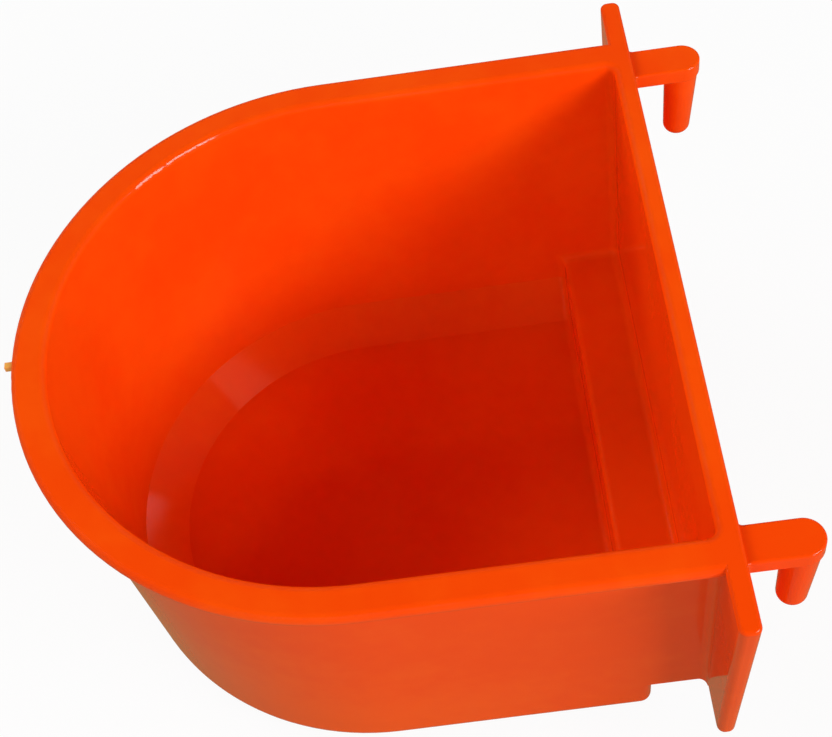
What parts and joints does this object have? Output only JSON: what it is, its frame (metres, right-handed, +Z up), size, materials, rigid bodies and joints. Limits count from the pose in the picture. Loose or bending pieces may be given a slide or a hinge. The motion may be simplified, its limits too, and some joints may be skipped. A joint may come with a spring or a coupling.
{
  "type": "seed cup",
  "caption": "D-shaped feeding cup with a flanged rim, a raised ledge at the back and a flat back plate whose downward hooks hang it on cage wires.",
  "frame": {"origin": "middle of the footprint, on the surface that the cup stands on", "axes": "+X along the back plate, to the right when the round front faces the viewer; +Y from the round front towards the back plate and hooks; +Z up"},
  "size_m": [0.0898, 0.0864, 0.0434],
  "materials": {
    "orange_plastic": "glossy injection-moulded polypropylene"
  },
  "bodies": {
    "root": {"rim": "orange_plastic", "front_wall": "orange_plastic", "left_wall": "orange_plastic", "right_wall": "orange_plastic", "cup_floor": "orange_plastic", "rear_ledge": "orange_plastic", "back_plate": "orange_plastic", "left_ear": "orange_plastic", "right_ear": "orange_plastic", "left_hook_arm": "orange_plastic", "right_hook_arm": "orange_plastic", "left_hook_peg": "orange_plastic", "right_hook_peg": "orange_plastic"}
  },
  "joints": []
}
